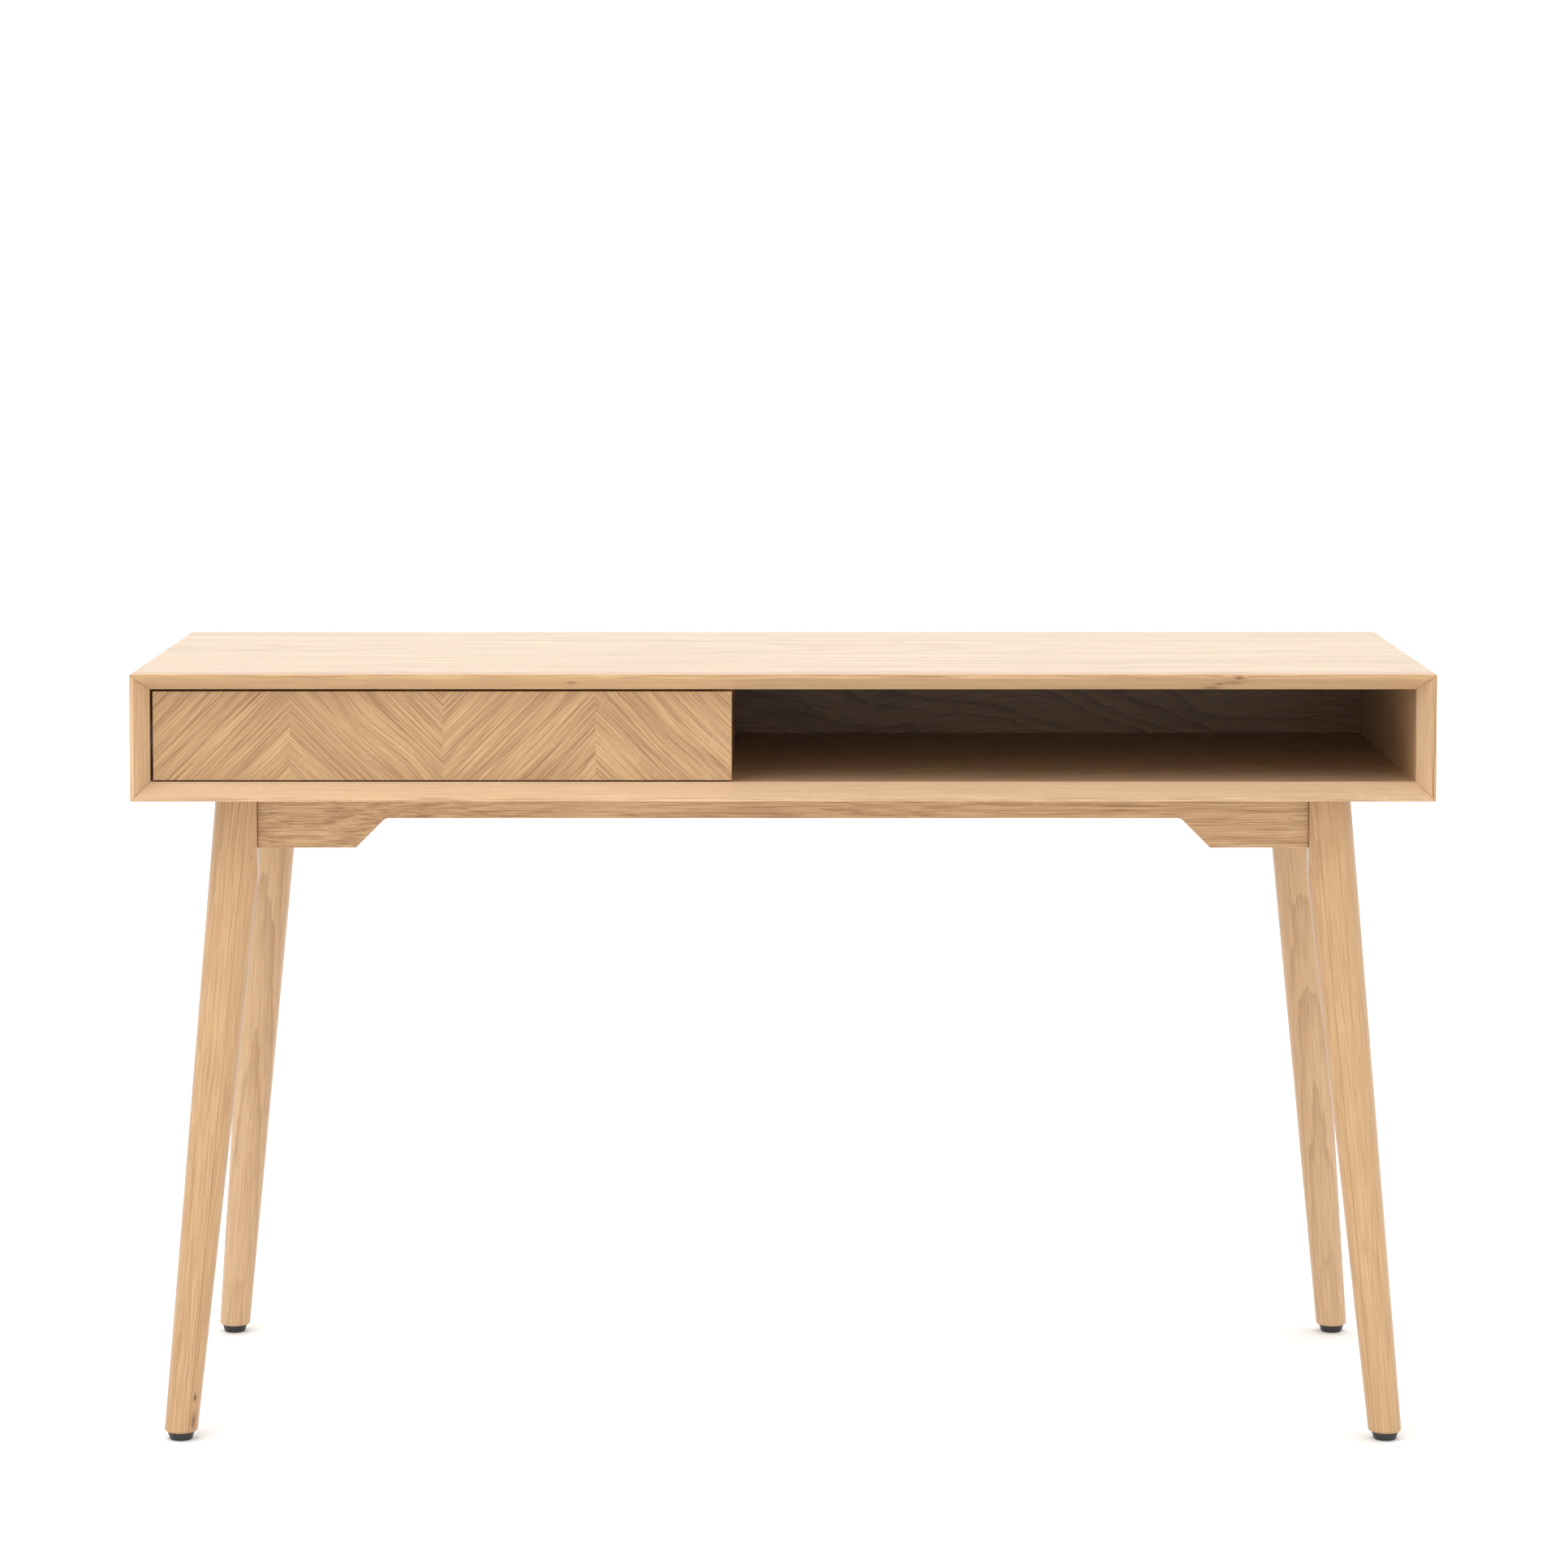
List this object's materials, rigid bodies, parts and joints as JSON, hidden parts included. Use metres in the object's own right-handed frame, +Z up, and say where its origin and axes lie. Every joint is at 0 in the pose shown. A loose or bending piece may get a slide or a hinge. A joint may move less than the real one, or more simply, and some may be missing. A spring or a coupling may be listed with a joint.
{
  "type": "writing desk",
  "caption": "Oak writing desk with a push-open chevron drawer beside an open shelf, in a mitred bevelled case on splayed turned legs.",
  "frame": {"origin": "on the floor, under the centre of the desk", "axes": "+Z up, +X along the desk's length to the right as seen from the front, -Y towards the person sitting at it"},
  "size_m": [1.3, 0.5, 0.775],
  "materials": {
    "oak_top": "matt lacquered oak veneer with straight grain",
    "oak_lipping": "matt lacquered solid oak",
    "oak_case": "matt lacquered oak veneer",
    "oak_back": "matt lacquered oak veneer with crown grain",
    "oak_rail": "matt lacquered solid oak",
    "oak_leg": "matt lacquered solid oak, turned",
    "oak_chevron_rising": "matt lacquered oak veneer, grain rising to the right",
    "oak_chevron_falling": "matt lacquered oak veneer, grain falling to the right",
    "drawer_wood": "sanded light hardwood",
    "plywood": "thin plywood, sanded",
    "beech": "fluted dowel rod and blocks, unfinished",
    "black_plastic": "moulded, matt",
    "grey_plastic": "moulded, matt",
    "zinc_steel": "bright zinc plated",
    "spring_steel": "drawn wire"
  },
  "bodies": {
    "desk": {"top_panel": "oak_top", "bottom_panel": "oak_case", "left_side_panel": "oak_case", "right_side_panel": "oak_case", "top_lipping": "oak_lipping", "bottom_lipping": "oak_lipping", "left_side_lipping": "oak_lipping", "right_side_lipping": "oak_lipping", "divider_panel": "oak_case", "back_panel": "oak_back", "mitre_splines": "plywood", "wood_dowels": "beech", "back_panel_screws": "zinc_steel", "front_rail": "oak_rail", "rear_rail": "oak_rail", "left_rail": "oak_rail", "right_rail": "oak_rail", "hanger_bolts": "zinc_steel", "hanger_washers": "zinc_steel", "hanger_nuts": "zinc_steel", "frame_screws": "zinc_steel", "runner_and_latch_screws": "zinc_steel", "latch_housing": "grey_plastic", "latch_spring": "spring_steel", "front_left_leg": "oak_leg", "front_left_glide": "black_plastic", "front_left_corner_block": "beech", "front_right_leg": "oak_leg", "front_right_glide": "black_plastic", "front_right_corner_block": "beech", "rear_left_leg": "oak_leg", "rear_left_glide": "black_plastic", "rear_left_corner_block": "beech", "rear_right_leg": "oak_leg", "rear_right_glide": "black_plastic", "rear_right_corner_block": "beech", "left_runner_cabinet_member": "zinc_steel", "right_runner_cabinet_member": "zinc_steel"},
    "drawer": {"drawer_front_screws": "zinc_steel", "drawer_front_core": "oak_case", "drawer_veneer_leaf_1": "oak_chevron_rising", "drawer_veneer_leaf_2": "oak_chevron_falling", "drawer_veneer_leaf_3": "oak_chevron_rising", "drawer_veneer_leaf_4": "oak_chevron_falling", "drawer_left_side": "drawer_wood", "drawer_right_side": "drawer_wood", "drawer_box_front": "drawer_wood", "drawer_box_back": "drawer_wood", "drawer_bottom": "plywood", "drawer_dowels": "beech", "left_runner_drawer_member": "zinc_steel", "right_runner_drawer_member": "zinc_steel", "runner_drawer_screws": "zinc_steel"},
    "left_runner_middle_member": {"left_runner_middle_member": "zinc_steel"},
    "left_outer_ball_strip": {"left_outer_ball_strip": "zinc_steel"},
    "left_inner_ball_strip": {"left_inner_ball_strip": "zinc_steel"},
    "right_runner_middle_member": {"right_runner_middle_member": "zinc_steel"},
    "right_outer_ball_strip": {"right_outer_ball_strip": "zinc_steel"},
    "right_inner_ball_strip": {"right_inner_ball_strip": "zinc_steel"},
    "latch_plunger": {"latch_plunger": "black_plastic"}
  },
  "joints": [
    {"name": "drawer_slide", "type": "slide", "parent": "desk", "child": "drawer", "axis": [0, -1, 0], "range_m": [0, 0.38]},
    {"name": "left_runner_middle_member_slide", "type": "slide", "parent": "desk", "child": "left_runner_middle_member", "axis": [0, -1, 0], "range_m": [0, 0.19]},
    {"name": "left_outer_ball_strip_slide", "type": "slide", "parent": "desk", "child": "left_outer_ball_strip", "axis": [0, -1, 0], "range_m": [0, 0.095]},
    {"name": "left_inner_ball_strip_slide", "type": "slide", "parent": "desk", "child": "left_inner_ball_strip", "axis": [0, -1, 0], "range_m": [0, 0.285]},
    {"name": "right_runner_middle_member_slide", "type": "slide", "parent": "desk", "child": "right_runner_middle_member", "axis": [0, -1, 0], "range_m": [0, 0.19]},
    {"name": "right_outer_ball_strip_slide", "type": "slide", "parent": "desk", "child": "right_outer_ball_strip", "axis": [0, -1, 0], "range_m": [0, 0.095]},
    {"name": "right_inner_ball_strip_slide", "type": "slide", "parent": "desk", "child": "right_inner_ball_strip", "axis": [0, -1, 0], "range_m": [0, 0.285]},
    {"name": "latch_plunger_slide", "type": "slide", "parent": "desk", "child": "latch_plunger", "axis": [0, -1, 0], "range_m": [-0.003, 0], "stiffness_N_per_m": 600, "springref_m": 0.004, "deforming": ["latch_spring"]}
  ],
  "couplings": [
    {"joint": "left_runner_middle_member_slide", "follows": "drawer_slide", "ratio": 0.5},
    {"joint": "left_outer_ball_strip_slide", "follows": "drawer_slide", "ratio": 0.25},
    {"joint": "left_inner_ball_strip_slide", "follows": "drawer_slide", "ratio": 0.75},
    {"joint": "right_runner_middle_member_slide", "follows": "drawer_slide", "ratio": 0.5},
    {"joint": "right_outer_ball_strip_slide", "follows": "drawer_slide", "ratio": 0.25},
    {"joint": "right_inner_ball_strip_slide", "follows": "drawer_slide", "ratio": 0.75}
  ]
}
